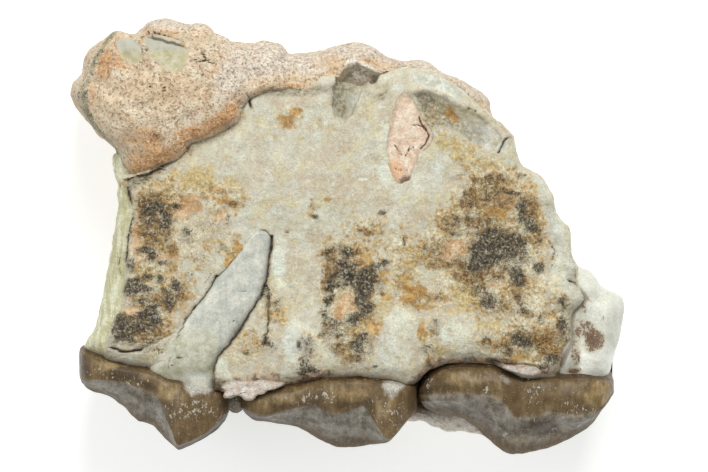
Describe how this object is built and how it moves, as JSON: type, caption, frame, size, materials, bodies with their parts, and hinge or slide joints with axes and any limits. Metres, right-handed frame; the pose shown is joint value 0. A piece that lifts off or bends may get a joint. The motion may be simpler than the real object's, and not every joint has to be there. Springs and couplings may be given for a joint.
{
  "type": "fossil jaw fragment with molars in matrix",
  "caption": "Broken length of fossil oreodont jaw bone holding a row of molars, backed and overgrown by pink siltstone; lies on its worn stone back.",
  "frame": {"origin": "on the surface the fossil rests on, under the middle of its outline", "axes": "+Z out of the jaw's outer face, which is up; the teeth point to -Y; +X runs along the tooth row from the smallest molar to the largest"},
  "size_m": [0.0474, 0.037, 0.0168],
  "materials": {
    "bone": "grey-cream fossil bone, satin where smooth, stained rust and black",
    "siltstone": "fine-grained pink-tan siltstone, dull",
    "filling": "pale pink sediment, dull",
    "enamel": "polished olive-brown enamel",
    "root": "smooth pale grey to ivory dentine",
    "bone_chip": "smooth grey-green fossil bone"
  },
  "bodies": {
    "root": {"jaw_bone": "bone", "siltstone": "siltstone", "stone_plug": "filling", "molar_left": "enamel", "molar_middle": "enamel", "molar_right": "enamel", "bone_chip_left": "bone_chip", "bone_chip_right": "bone_chip", "crust_left": "filling", "crust_right": "filling"}
  },
  "joints": []
}
